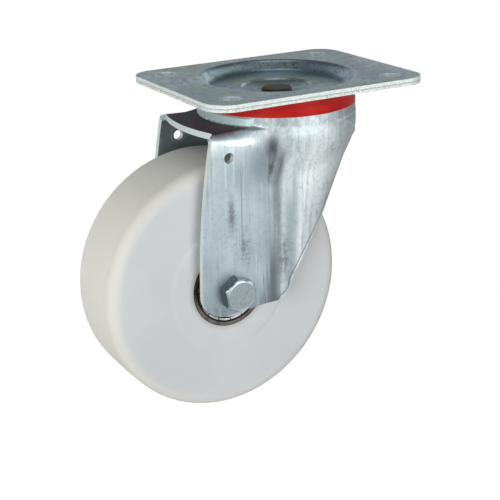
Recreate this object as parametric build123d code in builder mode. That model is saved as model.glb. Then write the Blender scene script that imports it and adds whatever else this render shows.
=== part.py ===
from build123d import *
from math import cos, pi, sin, sqrt
import os

# Swivel plate castor with a rigid wheel on ball bearings.
# Frame: millimetres, +Z up, origin at the centre of the plate's mounting face on the swivel axis.
# X is the rolling direction (the wheel trails towards -X), Y lies along the axle.

# ---------------------------------------------------------------- driving dimensions
# top plate
plate_length = 140.0
plate_width = 110.0
plate_thickness = 4.0
plate_corner = 14.0
hole_spacing_x = 105.0
hole_spacing_y = 80.0
hole_radius = 5.5
dish_floor_margin = 1.5        # dish floor beyond the pitch circle of the upper balls
dish_depth = 6.3
dish_wall_run = 7.0            # how far the drawn wall leans outwards, floor to rim
wall_lean = 0.8                # share of the run where the underside is half way up
wall_sag = 0.5                 # share of the depth half way along the upper side
wall_ease = 0.15               # slope with which the upper side leaves the floor and meets the rim
wall_pinch = 0.5               # how much closer in the underside meets the plate
pinch_lean = 0.3               # and how far it leans there
dish_step_radius = 20.0
dish_step = 1.2
dimple_radius = 9.6
dimple_depth = 2.0

# swivel head
pin_radius = 8.0
pin_head_radius = 9.0
pin_head_height = 2.2
pin_chamfer = 1.0
head_ball_radius = 4.0
head_ball_gap = 3.5            # between neighbouring balls of a row
ball_play = 0.1                # running clearance between a ball and each race
upper_ball_pitch = 38.0
ball_row_step = 9.0            # lower row inside the upper one
head_wall = 8.0                # upper pitch circle to the outside of the head
head_top = -15.0
cup_thickness = 3.0
cup_lip = 4.0                  # flat of the lower cup outside its balls
cup_neck_gap = 0.8
washer_radius = 15.0
washer_thickness = 2.5
pin_nut_flats = 24.0
pin_nut_height = 13.0
pin_end = 3.0                  # thread left below the nut
seal_top = -6.2
seal_wall = 1.1
seal_foot = 2.1
seal_lip = 0.5
seal_lip_height = 2.0
seal_taper = 1.0               # height over which the lip runs out into the wall
seal_heel = 4.0                # height of the slanted inside face

# fork
sheet = 3.5
leg_half_width = 33.0          # swivel axis to the outer face of a leg
deck_top = -21.0
deck_nose = -63.5              # front of the deck on the centre line
deck_notch = -59.0             # and beside each leg, where it draws back
bend_front_radius = 4.0        # bend between deck and leg, ahead of the deck
bend_neck_radius = 12.0        # the same bend where it runs into the head
bend_neck_x = -25.0
head_swell = 0.4
head_swell_z = -25.0
head_curl_radius = 30.0        # below the swell the wall curls in and meets the half cones
head_curl_depth = 20.0
cone_top_z = -21.0
cone_tuck = 2.0                # top of the half cones inside the wall of the head
cone_foot_bulge = 1.6          # how far they stand out of the legs at the foot
cone_flare = 2                 # power by which they widen towards the head
cone_bands = 4                 # sections that the half cones are lofted through, less one
crease_x = -23.5               # where the flat of a leg ends and the half cone begins
crease_radius = 6.0
head_cover = 0.2               # wall of the head outside the top of the half cones
leg_front_top = -61.5
leg_front_mid_reach = 19.0     # axle to the front edge half way down the leg
leg_front_low_reach = 21.4     # axle to the front edge at its own height
foot_front_radius = 14.0
foot_depth = 13.8              # axle centre to the lowest point of the leg
foot_rise = 2.6                # how much the bottom edge climbs to the rear lobe
rear_lobe_reach = 24.5         # axle to the start of the rear lobe
rear_lobe_radius = 12.0
rear_low_rise = 19.0           # axle up to where the rear edge crosses the swivel axis
rear_mid_rise = 36.0           # axle up to where the rear edge turns straight
rear_mid_x = 10.5
rear_top_x = 31.0
rear_rim_z = -33.5
accessory_x = -51.0
accessory_z = -35.2
accessory_radius = 3.0

# axle, wheel and bearings
trail = 49.0
wheel_clearance = 6.8          # lower ball cup to the tread; the castor is then 190 high
wheel_radius = 75.0
wheel_width = 50.0
tread_crown = 0.6
tread_edge = 7.0
boss_radius = 35.0
boss_height = 0.4
boss_run = 3.0                 # slope round the boss
bearing_outer_radius = 23.5
bearing_bore_radius = 10.0
bearing_width = 14.0
bearing_balls = 8
track_share = 0.6              # ball track as a share of the height between bore and outside
track_depth = 1.05             # track below the ring's land
shield_thickness = 0.8
shield_recess = 0.4
shield_seat = 0.7
wheel_shoulder = 3.5
bolt_radius = 6.0
bolt_flats = 18.5
bolt_head_height = 7.5
bolt_face_radius = 8.8         # round face that the head's chamfer leaves
bolt_chamfer_slope = 0.55
nut_height = 10.0
thread_end = 3.0
thread_chamfer = 1.0
spacer_radius = 16.5
spacer_relief = 1.2
cage_wall = 2.4
cage_rim = 0.9                 # cage beyond the balls, each side
axle_turn = 8.0                # how the bolt head and the nut happen to stand, in degrees
nut_turn = 20.0

# clearances
seat_gap = 0.02                # between pieces pressed or clamped together
slip_gap = 0.15                # bolt and pin holes

# how far cutting shapes run past what they cut
cut_run = 5.0

# ---------------------------------------------------------------- worked-out places
axle_x = -trail
dish_floor_radius = upper_ball_pitch + dish_floor_margin
lower_ball_pitch = upper_ball_pitch - ball_row_step
head_wall_radius = upper_ball_pitch + head_wall
leg_inner = leg_half_width - sheet
bearing_face = wheel_width / 2 + boss_height
bearing_middle = bearing_face - bearing_width / 2
bearing_pitch = (bearing_outer_radius + bearing_bore_radius) / 2
bearing_track = (bearing_outer_radius - bearing_bore_radius) / 2 * track_share
bearing_ball_radius = bearing_track - ball_play
outer_land = bearing_pitch + bearing_track - track_depth
inner_land = bearing_pitch - bearing_track + track_depth
plate_floor = -dish_depth - plate_thickness
plate_centre = plate_floor - dish_step
upper_ball_z = plate_floor - ball_play - head_ball_radius
head_floor = upper_ball_z - head_ball_radius - ball_play
race_radius = head_ball_radius + ball_play
head_under = head_floor - sheet
lower_ball_z = head_under - ball_play - head_ball_radius
cup_floor = lower_ball_z - race_radius
cup_neck = lower_ball_pitch - race_radius
head_hole = cup_neck + cup_neck_gap
cup_rim = lower_ball_pitch + cup_lip
pin_dimple = -dish_depth - dish_step - dimple_depth
nut_top = plate_centre - cup_thickness - washer_thickness
cup_bottom = cup_floor - cup_thickness
axle_z = cup_bottom - wheel_clearance - wheel_radius
foot_z = axle_z - foot_depth
cone_top_radius = head_wall_radius - cone_tuck
cone_foot_radius = leg_half_width + cone_foot_bulge
deck_under = deck_top - sheet
cut_reach = head_wall_radius + cut_run
bend_front_x = deck_nose - cut_run
bend_start = leg_half_width - bend_front_radius

axle_plane = Plane(origin=(axle_x, 0, axle_z), x_dir=(1, 0, 0), z_dir=(0, 0, 1))
axle_line = Axis((axle_x, 0, axle_z), (0, 1, 0))
os.makedirs("parts", exist_ok=True)


def save(part, name):
    """Label a finished piece and write its STEP file."""
    part.label = name
    export_step(part, f"parts/{name}.step")


def hexagon(flats):
    """Corner radius of a hexagon that measures `flats` across its flats."""
    return flats / sqrt(3)


# ---------------------------------------------------------------- top plate
# The dish is drawn into the sheet: a sloping wall, a flat floor for the balls, a step and a
# dimple in which the king pin's head lies.
with BuildPart() as top_plate:
    with BuildSketch():
        RectangleRounded(plate_length, plate_width, plate_corner)
    extrude(amount=-plate_thickness)
    rim_radius = dish_floor_radius + dish_wall_run
    with BuildSketch(Plane.XZ):
        with BuildLine():
            Polyline(
                (0, -plate_thickness),
                (0, plate_centre),
                (dish_step_radius + dish_step, plate_centre),
                (dish_step_radius + 2 * dish_step, plate_floor),
                (dish_floor_radius, plate_floor),
            )
            under_run = dish_wall_run - wall_pinch
            Spline(
                (dish_floor_radius, plate_floor),
                (dish_floor_radius + under_run * wall_lean, plate_floor + dish_depth / 2),
                (dish_floor_radius + under_run, -plate_thickness),
                tangents=((1, 0), (pinch_lean, 1)),
            )
            Line((dish_floor_radius + under_run, -plate_thickness), (0, -plate_thickness))
        make_face()
    revolve(axis=Axis.Z)
    with BuildSketch(Plane.XZ):
        with BuildLine():
            Polyline(
                (rim_radius, 0),
                (0, 0),
                (0, pin_dimple),
                (dimple_radius, pin_dimple),
                (dish_step_radius, -dish_depth - dish_step),
                (dish_step_radius + dish_step, -dish_depth),
                (dish_floor_radius, -dish_depth),
            )
            Spline(
                (dish_floor_radius, -dish_depth),
                (dish_floor_radius + dish_wall_run / 2, -dish_depth * wall_sag),
                (rim_radius, 0),
                tangents=((1, wall_ease), (1, wall_ease)),
            )
        make_face()
    revolve(axis=Axis.Z, mode=Mode.SUBTRACT)
    with GridLocations(hole_spacing_x, hole_spacing_y, 2, 2):
        Hole(hole_radius)
    Hole(pin_radius + slip_gap)
save(top_plate.part, "top_plate")

# ---------------------------------------------------------------- king pin and its fastenings
with BuildPart() as kingpin:
    pin_bottom = nut_top - pin_nut_height - pin_end
    dome_radius = (pin_head_radius**2 + pin_head_height**2) / (2 * pin_head_height)
    with BuildSketch(Plane.XZ):
        with BuildLine():
            Polyline(
                (0, pin_dimple + pin_head_height),
                (0, pin_bottom),
                (pin_radius - pin_chamfer, pin_bottom),
                (pin_radius, pin_bottom + pin_chamfer),
                (pin_radius, pin_dimple),
                (pin_head_radius, pin_dimple),
            )
            RadiusArc((pin_head_radius, pin_dimple), (0, pin_dimple + pin_head_height), -dome_radius)
        make_face()
    revolve(axis=Axis.Z)
save(kingpin.part, "kingpin")

with BuildPart() as kingpin_washer:
    with BuildSketch(Plane.XY.offset(nut_top)):
        Circle(washer_radius)
        Circle(pin_radius + slip_gap, mode=Mode.SUBTRACT)
    extrude(amount=washer_thickness)
save(kingpin_washer.part, "kingpin_washer")

with BuildPart() as kingpin_nut:
    with BuildSketch(Plane.XY.offset(nut_top)):
        RegularPolygon(hexagon(pin_nut_flats), 6)
        Circle(pin_radius + seat_gap, mode=Mode.SUBTRACT)
    extrude(amount=-pin_nut_height)
save(kingpin_nut.part, "kingpin_nut")

# The lower ball cup is a pressed hat: its crown is clamped under the plate and its brim
# carries the balls that hold the fork up.
with BuildPart() as lower_ball_cup:
    with BuildSketch(Plane.XZ):
        with BuildLine():
            Polyline(
                (lower_ball_pitch, cup_floor),
                (cup_rim, cup_floor),
                (cup_rim, cup_bottom),
                (cup_neck - cup_thickness, cup_bottom),
                (cup_neck - cup_thickness, plate_centre - cup_thickness),
                (pin_radius + slip_gap, plate_centre - cup_thickness),
                (pin_radius + slip_gap, plate_centre),
                (cup_neck, plate_centre),
                (cup_neck, lower_ball_z),
            )
            RadiusArc((cup_neck, lower_ball_z), (lower_ball_pitch, cup_floor), -race_radius)
        make_face()
    revolve(axis=Axis.Z)
    top_circles = lower_ball_cup.edges().filter_by(GeomType.CIRCLE).group_by(Axis.Z)[-1]
    crown_edge = top_circles.sort_by(SortBy.RADIUS)[-1]
    fillet(crown_edge, cup_thickness / 2)
save(lower_ball_cup.part, "lower_ball_cup")


# ---------------------------------------------------------------- swivel head balls
def ball_row(pitch, radius, height):
    """Places of a row of balls round the swivel axis."""
    count = int(2 * pi * pitch / (2 * radius + head_ball_gap))
    return [
        (pitch * cos(2 * pi * i / count), pitch * sin(2 * pi * i / count), height)
        for i in range(count)
    ]


with BuildPart() as upper_head_balls:
    with Locations(*ball_row(upper_ball_pitch, head_ball_radius, upper_ball_z)):
        Sphere(head_ball_radius)
save(upper_head_balls.part, "upper_head_balls")

with BuildPart() as lower_head_balls:
    with Locations(*ball_row(lower_ball_pitch, head_ball_radius, lower_ball_z)):
        Sphere(head_ball_radius)
save(lower_head_balls.part, "lower_head_balls")

# ---------------------------------------------------------------- seal ring
with BuildPart() as seal_ring:
    seal_inner = head_wall_radius - seal_wall
    with BuildSketch(Plane.XZ):
        with BuildLine():
            Polyline(
                (head_wall_radius - seal_foot, head_top),
                (head_wall_radius, head_top),
                (head_wall_radius, seal_top - seal_lip_height - seal_taper),
                (head_wall_radius + seal_lip, seal_top - seal_lip_height),
                (head_wall_radius + seal_lip, seal_top),
                (seal_inner + seal_lip, seal_top),
                (head_wall_radius - seal_foot, seal_top - seal_heel),
                close=True,
            )
        make_face()
    revolve(axis=Axis.Z)
save(seal_ring.part, "seal_ring")


# ---------------------------------------------------------------- fork
# Pressed from one sheet: a round head, a flat deck over the wheel and two legs whose rear
# halves bulge into half cones that run down from the head. The outside and the hollow are
# built from the same sections, the hollow one sheet thickness smaller.
def fork_section(height, front, inset):
    """Plan of the legs at one height: flat sides, a crease, then the half-cone bulge."""
    share = (cone_top_z - height) / (cone_top_z - foot_z)
    reach = cone_foot_radius + (cone_top_radius - cone_foot_radius) * (1 - share) ** cone_flare
    bulge_x = crease_x + sqrt((reach + crease_radius) ** 2 - (leg_half_width + crease_radius) ** 2)
    bulge = reach - inset
    crease = crease_radius + inset
    half = leg_half_width - inset
    tangent_x = bulge_x + (crease_x - bulge_x) * bulge / (bulge + crease)
    tangent_y = (half + crease) * bulge / (bulge + crease)
    angle = (tangent_x - crease_x) / crease
    mid_x = crease_x + crease * sin(angle / 2)
    mid_y = half + crease * (1 - cos(angle / 2))
    with BuildSketch(Plane.XY.offset(height)) as section:
        with BuildLine():
            Line((front, -half), (crease_x, -half))
            ThreePointArc((crease_x, -half), (mid_x, -mid_y), (tangent_x, -tangent_y))
            ThreePointArc((tangent_x, -tangent_y), (bulge_x + bulge, 0), (tangent_x, tangent_y))
            ThreePointArc((tangent_x, tangent_y), (mid_x, mid_y), (crease_x, half))
            Line((crease_x, half), (front, half))
            Line((front, half), (front, -half))
        make_face()
    return section.sketch


def bend_corner(x, side, inset, top, outer_radius):
    """What the bend takes off the square corner between deck and leg, at one place."""
    half = side * (leg_half_width - inset)
    outside = side * (leg_half_width + cut_run)
    radius = outer_radius - inset
    with BuildSketch(Plane.YZ.offset(x)) as corner:
        with BuildLine():
            bend = RadiusArc((half - side * radius, top), (half, top - radius), side * radius)
            Polyline(bend @ 1, (outside, top - radius), (outside, top), bend @ 0)
        make_face()
    return corner.sketch


def fork_body(inset, top, bottom):
    """Legs and deck as one solid, `inset` inside the outer faces."""
    with BuildPart() as body:
        front = axle_x - leg_front_low_reach - cut_run
        heights = [top + (bottom - top) * band / cone_bands for band in range(cone_bands + 1)]
        add(loft([fork_section(height, front, inset) for height in heights]))
        for side in (-1, 1):
            front_corner = bend_corner(bend_front_x, side, inset, top, bend_front_radius)
            neck_corner = bend_corner(bend_neck_x, side, inset, top, bend_neck_radius)
            add(loft([front_corner, neck_corner], ruled=True), mode=Mode.SUBTRACT)
        # behind the swivel axis the half cones stay inside the wall of the head
        with BuildSketch(Plane.XY.offset(top)):
            Circle(head_wall_radius - head_cover - inset)
            Rectangle(cut_reach * 2, cut_reach * 2, align=(Align.MAX, Align.CENTER))
        extrude(amount=bottom - top, mode=Mode.INTERSECT)
    return body.part


def fork_head(inset, top):
    """Round head as a revolved solid, `inset` inside the outer face."""
    swell_radius = head_wall_radius + head_swell - inset
    curl = head_curl_radius - inset
    curl_end_radius = swell_radius - curl + sqrt(curl**2 - head_curl_depth**2)
    curl_end_z = head_swell_z - head_curl_depth
    with BuildPart() as head:
        with BuildSketch(Plane.XZ):
            with BuildLine():
                Polyline((0, top), (head_wall_radius - inset, top), (swell_radius, head_swell_z))
                RadiusArc((swell_radius, head_swell_z), (curl_end_radius, curl_end_z), curl)
                Polyline((curl_end_radius, curl_end_z), (0, curl_end_z), (0, top))
            make_face()
        revolve(axis=Axis.Z)
    return head.part


def fork_form(inset, deck, head, bottom):
    """Legs, deck and head joined."""
    return fork_body(inset, deck, bottom) + fork_head(inset, head)


with BuildPart() as fork:
    add(fork_form(0, deck_top, head_top, foot_z - cut_run))
    add(fork_form(sheet, deck_under, head_under, foot_z - 2 * cut_run), mode=Mode.SUBTRACT)
    # upper ball race, and the hole that the lower cup passes through
    race_mouth = upper_ball_pitch + sqrt(race_radius**2 - (upper_ball_z - head_top) ** 2)
    with BuildSketch(Plane.XZ):
        with BuildLine():
            Line((0, head_top), (0, head_floor))
            Line((0, head_floor), (upper_ball_pitch, head_floor))
            RadiusArc((upper_ball_pitch, head_floor), (race_mouth, head_top), -race_radius)
            Line((race_mouth, head_top), (0, head_top))
        make_face()
    revolve(axis=Axis.Z, mode=Mode.SUBTRACT)
    with Locations((0, 0, head_floor)):
        Hole(head_hole, depth=2 * sheet)
    # side outline: leaning front edge, foot round the axle, slanted rear edge up to the head
    with BuildSketch(Plane.XZ):
        with BuildLine():
            front = ThreePointArc(
                (leg_front_top, deck_under),
                (axle_x - leg_front_mid_reach, (deck_under + axle_z) / 2),
                (axle_x - leg_front_low_reach, axle_z),
            )
            foot_front = axle_x - leg_front_low_reach + foot_front_radius
            lobe_x = axle_x + rear_lobe_reach
            lobe_z = foot_z + foot_rise
            RadiusArc(front @ 1, (foot_front, foot_z), -foot_front_radius)
            Line((foot_front, foot_z), (lobe_x, lobe_z))
            lobe_end = (lobe_x + rear_lobe_radius, lobe_z + rear_lobe_radius)
            RadiusArc((lobe_x, lobe_z), lobe_end, -rear_lobe_radius)
            rear_mid = (rear_mid_x, axle_z + rear_mid_rise)
            ThreePointArc(lobe_end, (0, axle_z + rear_low_rise), rear_mid)
            Polyline(
                rear_mid,
                (rear_top_x, rear_rim_z),
                (cut_reach, rear_rim_z),
                (cut_reach, head_top + cut_run),
                (deck_nose, head_top + cut_run),
                (deck_nose, deck_under),
                (leg_front_top, deck_under),
            )
        make_face()
    extrude(amount=cut_reach, both=True, mode=Mode.INTERSECT)
    # front of the deck: a bowed nose between two notches, set back at the legs
    with BuildSketch(Plane.XY.offset(deck_top + cut_run)):
        with BuildLine():
            ThreePointArc((deck_notch, -bend_start), (deck_nose, 0), (deck_notch, bend_start))
            Polyline(
                (deck_notch, bend_start),
                (leg_front_top, leg_half_width - sheet / 2),
                (leg_front_top, cut_reach),
                (-2 * cut_reach, cut_reach),
                (-2 * cut_reach, -cut_reach),
                (leg_front_top, -cut_reach),
                (leg_front_top, sheet / 2 - leg_half_width),
                (deck_notch, -bend_start),
            )
        make_face()
    extrude(amount=-sheet - cut_run, mode=Mode.SUBTRACT)
    # holes for the axle bolt and for accessories such as a wheel guard
    axle_hole = (axle_x, axle_z, bolt_radius + slip_gap)
    accessory_hole = (accessory_x, accessory_z, accessory_radius)
    for x, z, radius in (axle_hole, accessory_hole):
        with BuildSketch(Plane.XZ):
            with Locations((x, z)):
                Circle(radius)
        extrude(amount=cut_reach, both=True, mode=Mode.SUBTRACT)
save(fork.part, "fork")

# ---------------------------------------------------------------- axle
# The bolt clamps both legs against the axle tube, so the wheel turns freely between them.
with BuildPart() as axle_bolt:
    with BuildSketch(Plane(origin=(axle_x, -leg_half_width, axle_z), z_dir=(0, -1, 0))):
        RegularPolygon(hexagon(bolt_flats), 6, rotation=axle_turn)
    extrude(amount=bolt_head_height)
    with BuildSketch(axle_plane):
        head_face = -leg_half_width - bolt_head_height
        chamfer_run = hexagon(bolt_flats) - bolt_face_radius + cut_run
        with BuildLine():
            Polyline(
                (bolt_face_radius, head_face),
                (bolt_face_radius + chamfer_run, head_face),
                (bolt_face_radius + chamfer_run, head_face + chamfer_run * bolt_chamfer_slope),
                close=True,
            )
        make_face()
    revolve(axis=axle_line, mode=Mode.SUBTRACT)
    with BuildSketch(axle_plane):
        shank_end = leg_half_width + nut_height + thread_end
        with BuildLine():
            Polyline(
                (0, -leg_half_width),
                (bolt_radius, -leg_half_width),
                (bolt_radius, shank_end - thread_chamfer),
                (bolt_radius - thread_chamfer, shank_end),
                (0, shank_end),
                close=True,
            )
        make_face()
    revolve(axis=axle_line)
save(axle_bolt.part, "axle_bolt")

with BuildPart() as axle_nut:
    with BuildSketch(Plane(origin=(axle_x, leg_half_width, axle_z), z_dir=(0, 1, 0))):
        RegularPolygon(hexagon(bolt_flats), 6, rotation=nut_turn)
        Circle(bolt_radius + seat_gap, mode=Mode.SUBTRACT)
    extrude(amount=nut_height)
save(axle_nut.part, "axle_nut")

with BuildPart() as axle_tube:
    with BuildSketch(Plane(origin=(axle_x, -leg_inner, axle_z), z_dir=(0, 1, 0))):
        Circle(bearing_bore_radius - seat_gap)
        Circle(bolt_radius + slip_gap, mode=Mode.SUBTRACT)
    extrude(amount=2 * leg_inner)
save(axle_tube.part, "axle_tube")


# ---------------------------------------------------------------- bearings
def axle_ring(points):
    """A ring round the axle from its half section: radius, distance along the axle."""
    with BuildPart() as ring:
        with BuildSketch(axle_plane):
            with BuildLine():
                Polyline(*points, close=True)
            make_face()
        revolve(axis=axle_line)
    return ring


def ball_groove(ring, place):
    """Cut the ball track of a deep-groove bearing into one of its rings."""
    with BuildPart() as track:
        with BuildSketch(axle_plane):
            with Locations((bearing_pitch, place)):
                Circle(bearing_track)
        revolve(axis=axle_line)
    return ring.part - track.part


for name, side in (("near", -1), ("far", 1)):
    middle = side * bearing_middle
    half = bearing_width / 2
    shield_out = half - shield_recess
    shield_in = shield_out - shield_thickness

    outer_ring = axle_ring([
        (bearing_outer_radius - seat_gap, middle - half),
        (bearing_outer_radius - seat_gap, middle + half),
        (outer_land + shield_seat, middle + half),
        (outer_land + shield_seat, middle + shield_in),
        (outer_land, middle + shield_in),
        (outer_land, middle - shield_in),
        (outer_land + shield_seat, middle - shield_in),
        (outer_land + shield_seat, middle - half),
    ])
    save(ball_groove(outer_ring, middle), f"{name}_bearing_outer_ring")

    inner_ring = axle_ring([
        (bearing_bore_radius, middle - half),
        (inner_land, middle - half),
        (inner_land, middle + half),
        (bearing_bore_radius, middle + half),
    ])
    save(ball_groove(inner_ring, middle), f"{name}_bearing_inner_ring")

    for face, direction in (("outer", side), ("inner", -side)):
        shield = axle_ring([
            (inner_land + shield_seat, middle + direction * shield_in),
            (outer_land + shield_seat - seat_gap, middle + direction * shield_in),
            (outer_land + shield_seat - seat_gap, middle + direction * shield_out),
            (inner_land + shield_seat, middle + direction * shield_out),
        ])
        save(shield.part, f"{name}_bearing_{face}_shield")

    ball_places = [
        (
            axle_x + bearing_pitch * cos(2 * pi * i / bearing_balls),
            middle,
            axle_z + bearing_pitch * sin(2 * pi * i / bearing_balls),
        )
        for i in range(bearing_balls)
    ]
    with BuildPart() as balls:
        with Locations(*ball_places):
            Sphere(bearing_ball_radius)
    save(balls.part, f"{name}_bearing_balls")

    cage_half = bearing_ball_radius + cage_rim
    cage = axle_ring([
        (bearing_pitch - cage_wall / 2, middle - cage_half),
        (bearing_pitch + cage_wall / 2, middle - cage_half),
        (bearing_pitch + cage_wall / 2, middle + cage_half),
        (bearing_pitch - cage_wall / 2, middle + cage_half),
    ])
    with BuildPart() as pocketed_cage:
        add(cage.part)
        for place in ball_places:
            outward = (place[0] - axle_x, 0, place[2] - axle_z)
            with Locations(Plane(origin=(axle_x, middle, axle_z), z_dir=outward)):
                pocket_depth = bearing_pitch + cage_wall
                Cylinder(
                    bearing_track,
                    pocket_depth,
                    align=(Align.CENTER, Align.CENTER, Align.MIN),
                    mode=Mode.SUBTRACT,
                )
    save(pocketed_cage.part, f"{name}_bearing_cage")

    spacer = axle_ring([
        (bearing_bore_radius, side * bearing_face),
        (inner_land, side * bearing_face),
        (inner_land, side * (bearing_face + spacer_relief)),
        (spacer_radius, side * (bearing_face + spacer_relief)),
        (spacer_radius, side * leg_inner),
        (bearing_bore_radius, side * leg_inner),
    ])
    save(spacer.part, f"{name}_spacer")

# ---------------------------------------------------------------- wheel
with BuildPart() as wheel:
    half_width = wheel_width / 2
    side_radius = wheel_radius - tread_crown
    with BuildSketch(axle_plane) as wheel_section:
        with BuildLine():
            Polyline(
                (side_radius, half_width),
                (boss_radius + boss_run, half_width),
                (boss_radius, half_width + boss_height),
                (bearing_outer_radius, half_width + boss_height),
                (bearing_outer_radius, bearing_face - bearing_width),
                (bearing_outer_radius - wheel_shoulder, bearing_face - bearing_width),
                (bearing_outer_radius - wheel_shoulder, 0),
            )
            mirror(about=Plane.XZ)
            ThreePointArc((side_radius, -half_width), (wheel_radius, 0), (side_radius, half_width))
        make_face()
        fillet(wheel_section.vertices().group_by(Axis.X)[-1], tread_edge)
    revolve(axis=axle_line)
save(wheel.part, "wheel")
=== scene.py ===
# %% [markdown]
# A heavy swivel castor: a bolt-on steel plate, a pressed fork that turns under it on two rows of
# balls, and a solid plastic wheel on ball bearings. The exact solids come from the CAD model. This
# lesson adds what a CAD model leaves out: the finish of each surface, the screw threads, the
# crimped bearing shields and the torn lip that the press leaves on the fork's head. Everything is
# in metres, +Z up, with the origin in the middle of the plate's upper face, on the swivel axis.

# %% Load the frame
import bmesh
import bpy
import numpy as np
from mathutils import Matrix, Vector


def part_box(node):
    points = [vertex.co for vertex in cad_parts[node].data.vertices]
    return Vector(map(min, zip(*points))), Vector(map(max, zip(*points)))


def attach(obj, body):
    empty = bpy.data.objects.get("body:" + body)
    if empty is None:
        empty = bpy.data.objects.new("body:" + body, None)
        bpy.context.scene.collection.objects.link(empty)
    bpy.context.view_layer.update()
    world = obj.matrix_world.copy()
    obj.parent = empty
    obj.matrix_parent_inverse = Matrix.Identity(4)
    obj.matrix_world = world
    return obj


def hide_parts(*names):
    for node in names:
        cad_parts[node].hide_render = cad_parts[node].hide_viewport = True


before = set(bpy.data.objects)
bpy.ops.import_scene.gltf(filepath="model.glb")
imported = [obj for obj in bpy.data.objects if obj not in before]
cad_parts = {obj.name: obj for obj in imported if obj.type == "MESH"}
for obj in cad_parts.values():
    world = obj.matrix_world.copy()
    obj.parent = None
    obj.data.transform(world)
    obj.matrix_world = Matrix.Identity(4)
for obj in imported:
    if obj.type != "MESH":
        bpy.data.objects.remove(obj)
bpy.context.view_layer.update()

MM = 0.001

# %% [markdown]
# The sizes that the new pieces and the patterns share are read from the frame, so a piece that is
# made here always meets the part that carries it. The axle line is the middle of the wheel's box,
# and the swivel axis is the line x = 0, y = 0. A few more sizes of the model, which no box gives,
# are written out.

# %% Sizes read from the frame
def corners(node):
    """Lowest and highest corner of a node's box."""
    return tuple(np.array(corner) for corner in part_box(node))


wheel_low, wheel_high = corners("wheel")
axle = (wheel_low + wheel_high) / 2
axle[1] = 0.0
fork_low, fork_high = corners("fork")
bolt_low, bolt_high = corners("axle_bolt")
plate_high = corners("top_plate")[1]
head_top = fork_high[2]
print("axle at x, z (mm):", round(axle[0] / MM, 2), round(axle[2] / MM, 2))

# %% Sizes that no box gives
head_radius = 46 * MM
deck_top = -21 * MM
leg_side = 33 * MM
leg_hole = (-51 * MM, -35.2 * MM)
plate_corner = 14 * MM
plate_hole = (52.5 * MM, 40 * MM)
dish_rim, dish_floor = 46.5 * MM, 20.5 * MM
shield_seat = 20.5 * MM

# %% [markdown]
# The camera stands to the left and in front of the castor and looks slightly down. Its place is
# worked out from an aim point, a distance and three angles, which is easier to change than a
# matrix. The lens is long, so the far corner of the plate looks hardly smaller than the near one.

# %% Camera
def make_camera(aim, distance, azimuth, elevation, roll, lens):
    """Camera on a sphere round `aim`: forward, right and up come from the three angles."""
    az, el, turn = np.radians([azimuth, elevation, roll])
    forward = np.array([np.sin(az) * np.cos(el), np.cos(az) * np.cos(el), -np.sin(el)])
    level = np.array([np.cos(az), -np.sin(az), 0.0])
    above = np.cross(level, forward)
    right = np.cos(turn) * level + np.sin(turn) * above
    up = np.cos(turn) * above - np.sin(turn) * level
    turned = np.eye(4)
    turned[:3, 0], turned[:3, 1], turned[:3, 2] = right, up, -forward
    turned[:3, 3] = np.array(aim) - forward * distance
    camera = bpy.data.objects.new("camera", bpy.data.cameras.new("camera"))
    camera.matrix_world = Matrix(turned.tolist())
    camera.data.lens = lens
    camera.data.sensor_width = 36.0
    camera.data.clip_start = 0.01
    bpy.context.scene.collection.objects.link(camera)
    bpy.context.scene.camera = camera
    return camera


camera = make_camera(
    aim=(-20.57 * MM, 0, -105.13 * MM), distance=733.39 * MM,
    azimuth=29.29, elevation=19.93, roll=-1.36, lens=87.10)
print("camera at (m):", [round(value, 3) for value in camera.location])

# %% [markdown]
# A finish is a small network of shader nodes. Written node by node it is long and hard to read,
# so sums are written as sums here: `Value` wraps a socket, and each operator adds the Math node
# that does the same. Most masks are made by its last three methods, which turn a length into a
# soft step or a soft stripe.

# %% Sums in a shader
class Value:
    """A number in a shader. Operators on it add Math nodes."""

    def __init__(self, network, socket):
        self.network, self.socket = network, socket

    def math(self, operation, *others):
        """Any operation of the Math node on this value and others."""
        inputs = {index: item for index, item in enumerate((self, *others))}
        return self.network.node("ShaderNodeMath", {"operation": operation}, inputs)

    def __add__(self, other):
        return self.math("ADD", other)

    def __radd__(self, other):
        return self.math("ADD", other)

    def __sub__(self, other):
        return self.math("SUBTRACT", other)

    def __rsub__(self, other):
        return self.network.node("ShaderNodeMath", {"operation": "SUBTRACT"}, {0: other, 1: self})

    def __mul__(self, other):
        return self.math("MULTIPLY", other)

    def __rmul__(self, other):
        return self.math("MULTIPLY", other)

    def __truediv__(self, other):
        return self.math("DIVIDE", other)

    def __abs__(self):
        return self.math("ABSOLUTE")

    def __pow__(self, power):
        return self.math("POWER", power)

    def over(self, low, high):
        """0 below `low`, 1 above `high`, and a smooth step between them."""
        settings = {"interpolation_type": "SMOOTHSTEP"}
        inputs = {"Value": self, "From Min": low, "From Max": high}
        return self.network.node("ShaderNodeMapRange", settings, inputs)

    def under(self, low, high):
        """1 below `low`, 0 above `high`."""
        return 1 - self.over(low, high)

    def near(self, middle, reach):
        """1 at `middle`, and a smooth fall to 0 at `reach` on both sides of it."""
        return abs(self - middle).under(0.0, reach)


# %% [markdown]
# Every other kind of node comes from one method, `Network.node`: its settings are set first, then
# the values or links of its sockets. The methods below it only give names to the nodes that the
# finishes use most. Colours are mixed by Mix nodes, because a Math node would turn them grey.

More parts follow.
